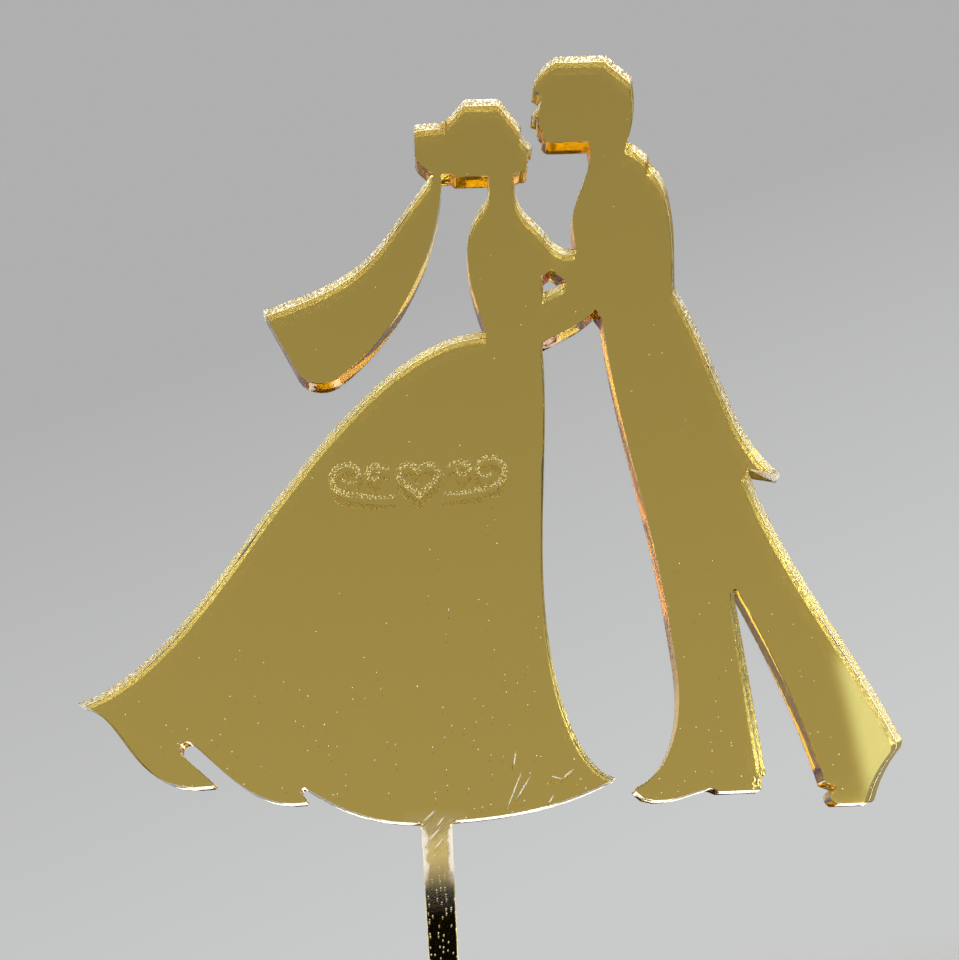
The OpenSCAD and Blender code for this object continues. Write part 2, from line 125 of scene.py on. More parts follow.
class TopperStage(bpy.types.PropertyGroup):
    """Floor, background and light."""
    floor: colour("Floor", "#E9E8E6", "Pale floor")
    wall_low: colour("Backdrop, low", "#C9CACA", "Backdrop behind the hem")
    wall_high: colour("Backdrop, high", "#AFB0AF", "Backdrop above the heads")
    sky_low: colour("Room, low", "#AEADAB", "Soft room light near the horizon")
    sky_high: colour("Room, high", "#9C9B9A", "Soft room light overhead")
    overhead_power: FloatProperty(name="Overhead power", description="Power of the softbox overhead",
                                  default=2.5, min=0.0, unit="POWER")
    key_power: FloatProperty(name="Key power", description="Power of the softbox in front, on the left",
                             default=1.7, min=0.0, unit="POWER")


def add(tree, kind, sockets=None, **settings):
    """Adds a shader node. Settings are its options, and sockets its inputs by name or number, each a value or
    an output to link."""
    made = tree.nodes.new("ShaderNode" + kind)
    for name, value in settings.items():
        setattr(made, name, value)
    for name, value in (sockets or {}).items():
        if isinstance(value, bpy.types.NodeSocket):
            tree.links.new(value, made.inputs[name])
        else:
            made.inputs[name].default_value = value
    return made


def ramp(tree, value, start, end, low=0.0, high=1.0, kind="LINEAR"):
    """Turns a value that runs from start to end into one from low to high, held at both ends."""
    sockets = {"Value": value, "From Min": start, "From Max": end, "To Min": low, "To Max": high}
    return add(tree, "MapRange", sockets, interpolation_type=kind).outputs[0]


def combine(tree, operation, first, *others):
    """Works each of the other values into the first in turn."""
    for other in others:
        first = add(tree, "Math", {0: first, 1: other}, operation=operation).outputs[0]
    return first


def between(tree, share, first, second):
    """A colour between two, by share."""
    return add(tree, "Mix", {0: share, 6: first, 7: second}, data_type="RGBA").outputs[2]


def lumps(tree, place, size, detail):
    """A noise whose lumps are of this size."""
    return add(tree, "TexNoise", {"Vector": place, "Scale": 1 / size, "Detail": detail}).outputs["Fac"]


def grains(tree, flat, size):
    """Grains, one to each cell of this size: the distance from the nearest, and its random shares."""
    cells = add(tree, "TexVoronoi", {"Vector": flat, "Scale": 1 / size}, voronoi_dimensions="2D")
    return cells.outputs["Distance"], add(tree, "SeparateColor", {"Color": cells.outputs["Color"]}).outputs


def bumps(tree, height, strength, depth):
    return add(tree, "Bump", {"Height": height, "Strength": strength, "Distance": depth}).outputs[0]


def stored(tree, name):
    """A value that the mesh carries."""
    return add(tree, "Attribute", attribute_name=name).outputs["Fac"]


def blank(name):
    material = bpy.data.materials.new(name)
    material.use_nodes = True
    material.node_tree.nodes.clear()
    return material, material.node_tree


def only(piece):
    """Selects one object and nothing else."""
    bpy.ops.object.select_all(action="DESELECT")
    piece.select_set(True)
    bpy.context.view_layer.objects.active = piece


def pick(piece, faces=(), edges=(), points=()):
    """Selects these faces, edges or points of a piece by number, and opens it in edit mode."""
    only(piece)
    mesh = piece.data
    for group, chosen in ((mesh.polygons, faces), (mesh.edges, edges), (mesh.vertices, points)):
        group.foreach_set("select", [False] * len(group))
        for k in chosen:
            group[k].select = True
    kind = "FACE" if faces else "EDGE" if edges else "VERT"
    bpy.context.tool_settings.mesh_select_mode = [kind == "VERT", kind == "EDGE", kind == "FACE"]
    bpy.ops.object.mode_set(mode="EDIT")


def done():
    bpy.ops.object.mode_set(mode="OBJECT")


def layer_copy(node, name):
    """A copy of a layer of the sheet, its loose triangles merged into whole faces."""
    piece = bpy.data.objects.new(name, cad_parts[node].data.copy())
    bpy.context.scene.collection.objects.link(piece)
    piece.data.materials.clear()
    only(piece)
    bpy.ops.object.mode_set(mode="EDIT")
    bpy.ops.mesh.select_all(action="SELECT")
    bpy.ops.mesh.remove_doubles(threshold=2 * TOUCH)
    bpy.ops.mesh.dissolve_limited(angle_limit=ONE_FLAT)
    done()
    return piece


def flat_side(face, side):
    """Whether a face lies in the flat front (side -1) or the flat back (side 1)."""
    return face.normal.y * side > 0.999


def is_wall(face):
    """Whether a face is part of a cut wall, without the rounded edges."""
    return abs(face.normal.y) < 0.5


def rim(mesh, side):
    """The numbers of the edges where the front (side -1) or the back (side 1) meets the cut walls."""
    flat = {key for face in mesh.polygons if flat_side(face, side) for key in face.edge_keys}
    walls = {key for face in mesh.polygons if is_wall(face) for key in face.edge_keys}
    return [e.index for e in mesh.edges if e.key in flat and e.key in walls]


def round_rim(piece, side, width):
    pick(piece, edges=rim(piece.data, side))
    bpy.ops.mesh.bevel(offset=width, segments=2, profile=0.5, affect="EDGES", clamp_overlap=True)
    done()


# The mirror's edge comes and goes by a share of its inset, in steps of this size. Points off the walls stay
UNEVEN_SHARE, UNEVEN_STEP, LEAST_LEAN = 0.9, 5.0 * MM, 0.3


def inset_walls(piece, by):
    """Draws the cut walls of a layer inwards, square to the outline, a little more here and less there."""
    mesh = piece.data
    leaning = [Vector((0.0, 0.0, 0.0)) for _ in mesh.vertices]
    for face in mesh.polygons:
        if is_wall(face):
            for v in face.vertices:
                leaning[v] += face.normal
    for point, lean in zip(mesh.vertices, leaning):
        if lean.length > LEAST_LEAN:
            share = 1.0 + UNEVEN_SHARE * noise.noise(Vector((point.co.x, 0.0, point.co.z)) / UNEVEN_STEP)
            point.co -= lean.normalized() * by * share / max(0.5, lean.length / 2)


def caps(mesh):
    """The numbers of the faces that make up the flat front and back."""
    return [face.index for face in mesh.polygons if flat_side(face, -1) or flat_side(face, 1)]


def level_edges(mesh):
    """The edges that run along the cut on its walls, with their lengths."""
    walls = {key for face in mesh.polygons if is_wall(face) for key in face.edge_keys}
    found = []
    for edge in mesh.edges:
        a, b = (mesh.vertices[v].co for v in edge.vertices)
        if edge.key in walls and abs(a.y - b.y) < TOUCH:
            found.append((edge.index, (a - b).length))
    return found


def dent(piece, weights, grain, depth, direction):
    """Presses a noise of this grain into the weighted points of a piece."""
    group = piece.vertex_groups.new(name="dents")
    for k, weight in weights.items():
        group.add([k], weight, "REPLACE")
    pulses = bpy.data.textures.new("laser_pulses", "CLOUDS")
    pulses.noise_scale, pulses.noise_depth = grain, 1
    only(piece)
    bpy.ops.object.modifier_add(type="DISPLACE")
    press = piece.modifiers[-1]
    press.texture, press.texture_coords, press.vertex_group = pulses, "LOCAL", group.name
    press.direction, press.mid_level, press.strength = direction, 0.0 if depth > 0 else 1.0, abs(depth)
    bpy.ops.object.modifier_apply(modifier=press.name)
    piece.vertex_groups.clear()


# Rows of facets through the sheet, and the parts that a wall is divided into, the longest walls first
WALL_ROWS = 6
WALL_PARTS = (100, 64, 40, 25, 16, 10, 7, 5, 4, 3, 2)


def ripple_walls(piece, corners, size):
    """Divides the cut walls into small facets and dents them as the laser's pulses do, most in inside
    corners."""
    pick(piece, faces=caps(piece.data))
    bpy.ops.mesh.quads_convert_to_tris(quad_method="BEAUTY", ngon_method="BEAUTY")
    for k in range(1, WALL_ROWS):
        bpy.ops.mesh.select_all(action="SELECT")
        bpy.ops.mesh.bisect(plane_co=(0.0, FRONT + (CLEAR_BACK - FRONT) * k / WALL_ROWS, 0.0),
                            plane_no=(0.0, 1.0, 0.0))
    done()
    for parts in WALL_PARTS:
        long = [k for k, reach in level_edges(piece.data) if reach > (parts - 0.5) * size.ripple_step]
        if long:
            pick(piece, edges=long)
            bpy.ops.mesh.subdivide(number_cuts=parts - 1)
            done()
    melting = [face.index for face in piece.data.polygons if is_wall(face)
               and corners.find((face.center.x, 0.0, face.center.z))[2] < size.melt_reach]
    pick(piece, faces=melting)
    bpy.ops.mesh.subdivide(number_cuts=2)
    done()
    ripples, beads = {}, {}
    on_walls = {v for face in piece.data.polygons if is_wall(face) for v in face.vertices}
    for point in piece.data.vertices:
        if point.index in on_walls and FRONT + 10 * TOUCH < point.co.y < CLEAR_BACK - 10 * TOUCH:
            ripples[point.index] = 1.0
            away = corners.find((point.co.x, 0.0, point.co.z))[2]
            if away < size.melt_reach:
                beads[point.index] = 1.0 - away / size.melt_reach
    dent(piece, ripples, size.ripple_step, -size.ripple_depth, "NORMAL")
    dent(piece, beads, size.bead_size, -size.bead_depth, "NORMAL")
    pick(piece, faces=caps(piece.data))
    bpy.ops.mesh.dissolve_limited(angle_limit=ONE_FLAT)
    done()


# Two walls that turn by more than this meet in a corner
CORNER = math.radians(35)


def inside_corners(mesh):
    """Where two cut walls meet in an inside corner."""
    walls = {}
    for face in mesh.polygons:
        if is_wall(face):
            for key in face.edge_keys:
                walls.setdefault(key, []).append(face)
    found = []
    for key, pair in walls.items():
        if len(pair) == 2 and pair[0].normal.angle(pair[1].normal) > CORNER:
            if (pair[1].center - pair[0].center).dot(pair[0].normal) > 0:
                found.append((mesh.vertices[key[0]].co + mesh.vertices[key[1]].co) / 2)
    return found


def nearest(points):
    """A finder for the nearest of these points, seen from the front."""
    tree = KDTree(len(points))
    for k, point in enumerate(points):
        tree.insert((point.x, 0.0, point.z), k)
    tree.balance()
    return tree


# Walls that turn by less than this shade as one curve
ONE_CURVE = math.radians(32)


def finish_shading(piece):
    """Walls shade smoothly round the curves, and the front and back stay dead flat."""
    only(piece)
    bpy.ops.object.shade_smooth_by_angle(angle=ONE_CURVE)
    for face in piece.data.polygons:
        if flat_side(face, -1) or flat_side(face, 1):
            face.use_smooth = False


def mark_melted(mesh, corners, reach):
    """Stores how much each point is melted: 1 in an inside corner, down to 0 at this reach from it."""
    melted = mesh.attributes.new("melt", "FLOAT", "POINT")
    for point in mesh.vertices:
        away = corners.find((point.co.x, 0.0, point.co.z))[2]
        melted.data[point.index].value = max(0.0, 1.0 - away / reach)


# Walls whose normals rise by more than this face up, and those whose normals fall as far face down. Faces
# that are turned further than this to the front or the back are no part of a wall or its rounded edge
LEAN, TURNED_FLAT = 0.15, 0.95


def mark_facing(mesh):
    """Stores where the cut walls and their rounded edges face up (1) and down (0)."""
    leaning = {}
    for face in mesh.polygons:
        if abs(face.normal.y) < TURNED_FLAT:
            for v in face.vertices:
                leaning.setdefault(v, []).append(face.normal.z)
    upper = mesh.attributes.new("upper", "FLOAT", "POINT")
    for v, leans in leaning.items():
        mean = sum(leans) / len(leans)
        upper.data[v].value = min(1.0, max(0.0, (mean + LEAN) / (2 * LEAN)))


def hand_over(piece, node):
    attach(piece, "root")
    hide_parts(node)


# Fine scratches near the hem and the neck: centre x and z, half length in millimetres, and lean in degrees
SCRATCHES = ((10.4, 3.3, 3.0, 27), (11.6, 3.5, 2.0, 37), (17.7, 4.9, 1.1, 56), (16.1, 4.5, 0.8, 109),
             (15.1, 1.8, 0.7, 36), (-0.9, 0.8, 1.2, 51), (-0.4, -1.5, 1.3, 48), (0.5, 0.0, 0.9, 44),
             (0.2, -2.6, 1.0, 46), (10.8, 7.3, 1.2, 14))

# The distance between the bands of a wave texture of scale 1
WAVE_STEP = 0.314


def wall_grain(tree, place, wall, upper, melt, size):
    """Roughness and bumps of the cut walls. Between its ripples the laser leaves a finer grain, drawn out
    through the sheet: frosted and pale on the walls that face up, clear and amber on those that face down,
    whose amber is deepened by a painted shade in the material's colour. Real grains are too fine to show
    and are drawn coarser."""
    along = add(tree, "Mapping", {"Vector": place, "Scale": (1.0, 0.4, 1.0)}).outputs[0]
    pulses = lumps(tree, along, size.grain_step, 2.0)
    beads = ramp(tree, melt, 0.0, 1.0, 0.7, 2.2)
    coarse = ramp(tree, upper, 0.0, 1.0, 0.3, 0.45)
    cut = combine(tree, "MULTIPLY", beads, wall, coarse, pulses)
    clear_walls, frosted_walls = (0.02, 0.12), (0.4, 0.8)
    least, most = (ramp(tree, upper, 0.0, 1.0, *ends) for ends in zip(clear_walls, frosted_walls))
    frosty = ramp(tree, pulses, 0.42, 0.62, least, most)
    wet = ramp(tree, melt, 0.0, 1.0, 1.0, 0.2)
    return combine(tree, "MULTIPLY", frosty, wall, wet), bumps(tree, cut, 1.0, size.grain_depth)


def glinting_pits(tree, flat, engraved, size):
    """The pits of the engraving catch the light here and there, in grains drawn coarser than real ones so
    that they show."""
    away, draw = grains(tree, flat, size.pit_grain)
    dots = ramp(tree, away, 0.22, 0.42, 1.0, 0.0)
    lit = ramp(tree, draw[1], 0.15, 0.5, 0.0, 0.85)
    return combine(tree, "MULTIPLY", dots, lit, engraved)


def dust_flecks(tree, flat, height, size):
    """Dust on the polished face: thick on the stake, and thinning out above the hem."""
    away, draw = grains(tree, flat, size.fleck_step)
    low = ramp(tree, height, 2 * MM, 32 * MM, 1.0, 0.0)
    deep = ramp(tree, height, -8 * MM, -3 * MM, 0.35, 0.0)
    share = combine(tree, "ADD", ramp(tree, low, 0.0, 1.0, 0.003, 0.032), deep)
    rare = combine(tree, "LESS_THAN", draw[0], share)
    return combine(tree, "MULTIPLY", ramp(tree, away, 0.08, 0.17, 1.0, 0.0), rare)


def fine_scratches(tree, place, size):
    """Long fine scratches near the hem."""
    marks = 0.0
    for x, z, reach, lean in SCRATCHES:
        drawn = add(tree, "Mapping", {"Vector": place, "Location": (x * MM, 0.0, z * MM),
                                      "Rotation": (0.0, math.radians(lean), 0.0),
                                      "Scale": (size.scratch_width, 1.0, reach * MM)}, vector_type="TEXTURE")
        away = add(tree, "VectorMath", {0: drawn.outputs[0]}, operation="LENGTH").outputs["Value"]
        marks = combine(tree, "MAXIMUM", marks, ramp(tree, away, 0.5, 1.0, 0.75, 0.0))
    return marks


def hatched_neck_and_highlights(tree, place, height, middle, size):
    """Where the stake is held to push it in, its neck has a slanting hatch of scratches, and both its sides
    carry a pale painted highlight."""
    leaned = add(tree, "VectorRotate", {"Vector": place, "Angle": math.radians(42)}, rotation_type="Y_AXIS")
    hatch = add(tree, "TexWave", {"Vector": leaned.outputs[0], "Scale": WAVE_STEP / size.hatch_step,
                                  "Distortion": 1.5, "Detail": 2.0}, bands_direction="Z").outputs["Fac"]
    hatch = combine(tree, "MULTIPLY", ramp(tree, hatch, 0.72, 1.0), ramp(tree, height, -11 * MM, -5 * MM),
                    ramp(tree, height, -0.5 * MM, 1.5 * MM, 0.45, 0.0))
    # Painted highlight: pale bands down both sides of the neck, standing for light caught by its edges
    patchy = lumps(tree, place, 1.6 * MM, 3.0)
    edge = ramp(tree, patchy, 0.3, 0.7, 1.45 * MM, 0.85 * MM)
    white = ramp(tree, combine(tree, "SUBTRACT", middle, edge), 0.0, 0.55 * MM)
    white = combine(tree, "MULTIPLY", white, ramp(tree, height, -8 * MM, -5 * MM),
                    ramp(tree, height, -1.2 * MM, -0.4 * MM, 0.95, 0.0))
    narrow = combine(tree, "LESS_THAN", middle, size.neck_reach)
    return combine(tree, "MULTIPLY", combine(tree, "MAXIMUM", hatch, white), narrow)


def acrylic_material(look, size):
    """Amber cast acrylic, polished face and laser-cut walls: clear and glossy, gold only by its depth, with
    the laser's grain across the walls, a painted shade on the walls that face down, melted beads in inside
    corners, a frosted engraving, handling marks near the hem, and painted highlights along the stake's neck."""
    material, tree = blank("amber_cast_acrylic_laser_cut")
    place = add(tree, "TexCoord").outputs["Object"]
    spot = add(tree, "SeparateXYZ", {"Vector": place})
    aside, height = spot.outputs["X"], spot.outputs["Z"]
    flat = add(tree, "CombineXYZ", {"X": aside, "Y": height}).outputs[0]
    middle = add(tree, "Math", {0: aside}, operation="ABSOLUTE").outputs[0]
    normal = add(tree, "NewGeometry").outputs["True Normal"]
    across = add(tree, "SeparateXYZ", {"Vector": normal}).outputs["Y"]
    turned = add(tree, "Math", {0: across}, operation="ABSOLUTE").outputs[0]
    wall = ramp(tree, turned, 0.35, 0.8, 1.0, 0.0)
    face = combine(tree, "SUBTRACT", 1.0, wall)
    upper, engraved = stored(tree, "upper"), stored(tree, "engraved")
    melt = combine(tree, "MULTIPLY", stored(tree, "melt"), wall)

    # Frosted places, wear and the painted highlights on the stake's neck are dull and let little light
    # through, and the rest is clear
    frosty, grained = wall_grain(tree, place, wall, upper, melt, size)
    frost = glinting_pits(tree, flat, engraved, size)
    marks = combine(tree, "MAXIMUM", dust_flecks(tree, flat, height, size), fine_scratches(tree, place, size),
                    hatched_neck_and_highlights(tree, place, height, middle, size))
    wear_and_highlight = combine(tree, "MULTIPLY", marks, face)
    clear = ramp(tree, combine(tree, "MAXIMUM", wear_and_highlight, frost), 0.0, 1.0, 1.0, 0.15)
    engraved_dull, wear_and_highlight_dull = 0.25, 0.6
    rough = combine(tree, "MAXIMUM", frosty, ramp(tree, engraved, 0.0, 1.0, 0.0, engraved_dull),
                    ramp(tree, wear_and_highlight, 0.0, 1.0, 0.0, wear_and_highlight_dull))

    # Walls that face down get a darker painted shade, the pits glint golden, and specks, scratches and the
    # painted highlights on the stake's neck are nearly white
    painted_shade_share = combine(tree, "MULTIPLY", combine(tree, "SUBTRACT", 1.0, upper), wall)
    shade = between(tree, painted_shade_share, (1.0, 1.0, 1.0, 1.0), look.painted_low_wall_shade)
    shade = between(tree, ramp(tree, frost, 0.0, 0.3), shade, look.frost)
    shade = between(tree, wear_and_highlight, shade, look.dust_and_highlight)
    surface = add(tree, "BsdfPrincipled", {"Base Color": shade, "Roughness": rough, "IOR": 1.49,
                                           "Transmission Weight": clear, "Normal": grained})
    depth = add(tree, "VolumeAbsorption", {"Color": look.tint, "Density": look.tint_depth})
    add(tree, "OutputMaterial", {"Surface": surface.outputs[0], "Volume": depth.outputs[0]})
    return material


def mirror_material(look):
    """Vacuum-metallised aluminium under gold lacquer: a bright mirror with a breath of haze and the faint
    wave of a cast sheet."""
    material, tree = blank("gold_lacquered_vacuum_metal")
    place = add(tree, "TexCoord").outputs["Object"]
    haze = ramp(tree, lumps(tree, place, 6.0 * MM, 3.0), 0.0, 1.0, 0.012, 0.05)
    wavy = bumps(tree, lumps(tree, place, 14.0 * MM, 0.0), 0.5, 0.02 * MM)
    surface = add(tree, "BsdfPrincipled", {"Base Color": look.metal, "Metallic": 1.0, "Roughness": haze,
                                           "Normal": wavy})
    add(tree, "OutputMaterial", {"Surface": surface.outputs[0]})
    return material


def paint_material(look, haze_width):
    """Grey backing paint, roller coated: satin, softly mottled, with a fine orange-peel skin, and laser smoke
    along the cut."""
    material, tree = blank("roller_coated_grey_paint")
    place = add(tree, "TexCoord").outputs["Object"]
    cloud = lumps(tree, place, 5.0 * MM, 4.0)
    mottle = ramp(tree, cloud, 0.3, 0.7, 0.92, 1.06)
    base = add(tree, "VectorMath", {0: tuple(look.paint)[:3], "Scale": mottle}, operation="SCALE").outputs[0]
    drift = ramp(tree, cloud, 0.0, 1.0, 0.45 * haze_width, 1.55 * haze_width)
    share = combine(tree, "DIVIDE", stored(tree, "from_edge"), drift)
    haze = ramp(tree, share, 0.0, 1.0, 0.55, 0.0, "SMOOTHSTEP")
    shade = between(tree, haze, base, look.smoke)
    skin = bumps(tree, lumps(tree, place, 0.5 * MM, 1.0), 0.4, 0.02 * MM)
    rough = ramp(tree, cloud, 0.0, 1.0, 0.36, 0.56)
    surface = add(tree, "BsdfPrincipled", {"Base Color": shade, "Roughness": rough, "IOR": 1.5,
                                           "Normal": skin})
    add(tree, "OutputMaterial", {"Surface": surface.outputs[0]})
    return material


# The engraving: a heart between two scrolls, as lines of (x, z, fullness), in millimetres from its centre
HEART_POINTS, HEART_SCALE, HEART_LIFT, HEART_FULL = 48, 0.19, 0.4, 0.95
STEM_POINTS, SPIRAL_POINTS = 16, 40

# The stem's bend, as a share of its length, and the line's fullness at its ends and what the middle adds
STEM_BEND, END_FULL, MIDDLE_FULL = 0.45, 0.65, 0.35

# The large and the small scroll: where the stem starts, and the spiral that it swings into
SCROLLS = (
    dict(start=(3.6, -2.6), centre=(10.6, 1.2), outer=2.9, inner=0.75, turns=1.15, sense=1, degrees=-75),
    dict(start=(4.2, 2.2), centre=(6.6, 1.4), outer=1.35, inner=0.5, turns=0.9, sense=-1, degrees=100),
)


def heart():
    """The well-known heart curve."""
    line = []
    for k in range(HEART_POINTS):
        a = 2 * math.pi * k / HEART_POINTS
        x = 16 * math.sin(a) ** 3
        z = 13 * math.cos(a) - 5 * math.cos(2 * a) - 2 * math.cos(3 * a) - math.cos(4 * a)
        line.append((x * HEART_SCALE, z * HEART_SCALE + HEART_LIFT, HEART_FULL))
    return line


def scroll(side, start, centre, outer, inner, turns, sense, degrees):
    """A stem that swings into a spiral: full in the middle and fine at both ends."""
    eye, from_angle = Vector(centre), math.radians(degrees)
    join = eye + outer * Vector((math.cos(from_angle), math.sin(from_angle)))
    heading = Vector((-math.sin(from_angle), math.cos(from_angle))) * sense
    reach = STEM_BEND * (join - Vector(start)).length
    middle = (Vector(start) + Vector((reach, 0)), join - heading * reach)
    path = []
    for k in range(STEM_POINTS):
        t = k / STEM_POINTS
        w = ((1 - t) ** 3, 3 * t * (1 - t) ** 2, 3 * t * t * (1 - t), t ** 3)
        path.append(sum((p * v for p, v in zip((Vector(start), *middle, join), w)), Vector((0, 0))))
    for k in range(SPIRAL_POINTS + 1):
        t = k / SPIRAL_POINTS
        a = from_angle + sense * turns * 2 * math.pi * t
        path.append(eye + (outer + (inner - outer) * t) * Vector((math.cos(a), math.sin(a))))
    last = len(path) - 1
    return [(side * p.x, p.y, END_FULL + MIDDLE_FULL * math.sin(math.pi * min(1.0, 1.25 * k / last)) ** 0.8)
            for k, p in enumerate(path)]


def flourish():
    """All lines of the engraving, and whether each is closed."""
    return [(heart(), True)] + [(scroll(side, **shape), False) for side in (-1, 1) for shape in SCROLLS]


def engraved_faces(mesh):
    """The numbers of the faces that are marked as engraved."""
    return [k for k, mark in enumerate(mesh.attributes["engraved"].data) if mark.value > 0.5]


def engrave(piece, size):
    """Cuts the flourish into the front with an oval cutter, whose middle stands off the face by the groove's
    depth."""
    deep = size.groove_depth
    radius = size.groove_width / math.sqrt(3)
    curve = bpy.data.curves.new("engraver", "CURVE")
    curve.dimensions, curve.bevel_depth, curve.bevel_resolution = "3D", 1.0, 6
    curve.use_fill_caps = True
    for line, closed in flourish():
        spline = curve.splines.new("POLY")
        spline.points.add(len(line) - 1)
        spline.use_cyclic_u = closed
        for point, (x, z, full) in zip(spline.points, line):
            point.co = (x * MM, 0.0, size.flourish_height + z * MM, 1.0)
            point.radius = radius * full
    cutter = bpy.data.objects.new("engraver", curve)
    bpy.context.scene.collection.objects.link(cutter)
    only(cutter)
    bpy.ops.object.convert(target="MESH")
    cutter = bpy.context.view_layer.objects.active
    bpy.ops.object.mode_set(mode="EDIT")
    bpy.ops.mesh.select_all(action="SELECT")
    bpy.ops.mesh.remove_doubles(threshold=TOUCH)
    bpy.ops.mesh.normals_make_consistent(inside=False)
    done()
    cutter.location.y, cutter.scale.y = FRONT - deep, 2 * deep / radius
    bpy.ops.object.transform_apply(location=True, rotation=True, scale=True)
    only(piece)
    bpy.ops.object.modifier_add(type="BOOLEAN")
    carve = piece.modifiers[-1]
    carve.operation, carve.solver, carve.use_self, carve.object = "DIFFERENCE", "EXACT", True, cutter
    bpy.ops.object.modifier_apply(modifier=carve.name)
    only(cutter)
    bpy.ops.object.delete()

    # The groove is no smooth channel: it is cut into small facets, and pits are pressed into it
    mesh = piece.data
    grooves = [f.index for f in mesh.polygons if FRONT + TOUCH < f.center.y < FRONT + 1.5 * deep]
    frosted = mesh.attributes.new("engraved", "FLOAT", "FACE")
    for k in grooves:
        frosted.data[k].value = 1.0
    pick(piece, faces=sorted({*grooves, *caps(mesh)}))
    bpy.ops.mesh.quads_convert_to_tris(quad_method="BEAUTY", ngon_method="BEAUTY")
    # The cut can leave a stray sliver where the heart comes to a point: whatever has an open edge goes
    bpy.ops.mesh.select_mode(type="EDGE")
    bpy.ops.mesh.select_non_manifold(extend=False, use_wire=True, use_boundary=True, use_multi_face=False,
                                     use_non_contiguous=False, use_verts=False)
    bpy.ops.mesh.delete(type="EDGE")
    done()
    pick(piece, faces=engraved_faces(piece.data))
    bpy.ops.mesh.subdivide(number_cuts=2)
    done()
    mesh = piece.data
    inside = {v for k in engraved_faces(mesh) for v in mesh.polygons[k].vertices}
    deeper = {v: 1.0 for v in inside if mesh.vertices[v].co.y > FRONT + 10 * TOUCH}
    dent(piece, deeper, size.pit_size, size.pit_depth, "Y")


class TOPPER_OT_acrylic_panel(bpy.types.Operator):
    """The clear amber acrylic: couple and stake in one cut, with a softened front edge and the engraving"""
    bl_idname = "topper.acrylic_panel"
    bl_label = "Acrylic panel"

    def execute(self, context):
        size, look = context.scene.topper_sheet, context.scene.topper_finish
        piece = layer_copy("acrylic_panel", "acrylic_panel_cut")
        corners = nearest(inside_corners(piece.data))
        engrave(piece, size)
        ripple_walls(piece, corners, size)
        round_rim(piece, -1, size.edge_round)
        behind = [v.index for v in piece.data.vertices if v.co.y > CLEAR_BACK - TOUCH]
        pick(piece, points=behind)
        bpy.ops.transform.translate(value=(0.0, size.bond, 0.0))
        done()

        mark_melted(piece.data, corners, size.melt_reach)
        mark_facing(piece.data)
        finish_shading(piece)
        piece.data.materials.clear()
        piece.data.materials.append(acrylic_material(look, size))
        hand_over(piece, "acrylic_panel")
        return {"FINISHED"}


class TOPPER_OT_mirror_film(bpy.types.Operator):
    """The metal mirror behind the acrylic, drawn back a hair from the cut by the laser's heat"""
    bl_idname = "topper.mirror_film"
    bl_label = "Mirror film"

    def execute(self, context):
        size, look = context.scene.topper_sheet, context.scene.topper_finish
        piece = layer_copy("mirror_film", "mirror_film_drawn_back")
        inset_walls(piece, size.mirror_gap)
        finish_shading(piece)
        piece.data.materials.append(mirror_material(look))
        hand_over(piece, "mirror_film")
        return {"FINISHED"}


# Steps along the outline that the smoke is measured from, and the tiles of the back, shifted off its corners
OUTLINE_STEP = 0.3 * MM
TILE, TILE_SHIFT = 2.0 * MM, 0.37


class TOPPER_OT_back_coat(bpy.types.Operator):
    """The grey paint on the back, with the laser's smoke along its edges"""
    bl_idname = "topper.back_coat"
    bl_label = "Back coat"

    def execute(self, context):
        size, look = context.scene.topper_sheet, context.scene.topper_finish
        piece = layer_copy("back_coat", "back_coat_painted")
        marks = []
        for k in rim(piece.data, 1):
            a, b = (piece.data.vertices[v].co.copy() for v in piece.data.edges[k].vertices)
            steps = max(1, math.ceil((b - a).length / OUTLINE_STEP))
            marks += [a.lerp(b, s / steps) for s in range(steps)]
        outline = nearest(marks)
        round_rim(piece, 1, size.back_round)

        # The flat back is cut into small tiles, so that the smoke can follow the outline
        low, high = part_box("back_coat")
        for axis in (0, 2):
            count = int((high[axis] - low[axis]) / TILE)
            for k in range(1, count + 1):
                at, across = [0.0, 0.0, 0.0], [0.0, 0.0, 0.0]
                at[axis], across[axis] = low[axis] + (k - TILE_SHIFT) * TILE, 1.0
                only(piece)
                bpy.ops.object.mode_set(mode="EDIT")
                bpy.ops.mesh.select_all(action="SELECT")
                bpy.ops.mesh.bisect(plane_co=at, plane_no=across)
                done()
        distance = piece.data.attributes.new("from_edge", "FLOAT", "POINT")
        for point in piece.data.vertices:
            distance.data[point.index].value = outline.find((point.co.x, 0.0, point.co.z))[2]
        finish_shading(piece)
        piece.data.materials.clear()
        piece.data.materials.append(paint_material(look, size.haze_width))
        hand_over(piece, "back_coat")
        return {"FINISHED"}


# The camera, by place in metres, turn in degrees, and focal length against the picture's height
CAMERA_AT = (-0.00061, -0.1365, -0.018755)
CAMERA_TURN = (116.6435, 4.2555, -2.0249)
FOCAL_PIXELS, FRAME_PIXELS = 1000.0, 960.0

# The paper sweep, in metres: its size, the middle of its floor, the rise of its backdrop, the round of its
# fold, how near a point is to the fold to belong to it, and the paper's grain
SWEEP_SIZE, SWEEP_FORWARD, SWEEP_RISE, FOLD_ROUND = 5.0, -1.7, 3.0, 0.12
NEAR_EDGE = 0.01
PAPER_GRAIN = 1 / 900

# The backdrop takes over from the floor between these heights. Its tone climbs with height, less on the right
BACKDROP_FROM, BACKDROP_FULL = FLOOR + 0.01, FLOOR + 0.05
CLIMB_FROM, CLIMB_FULL, CLIMB_ASIDE = 0.02, 0.7, -0.35

# Both softboxes have this size and point at the middle of the couple
SOFTBOX_SIZE = (0.8, 0.5)
AIM = Vector((0.0, 0.0, 0.05))

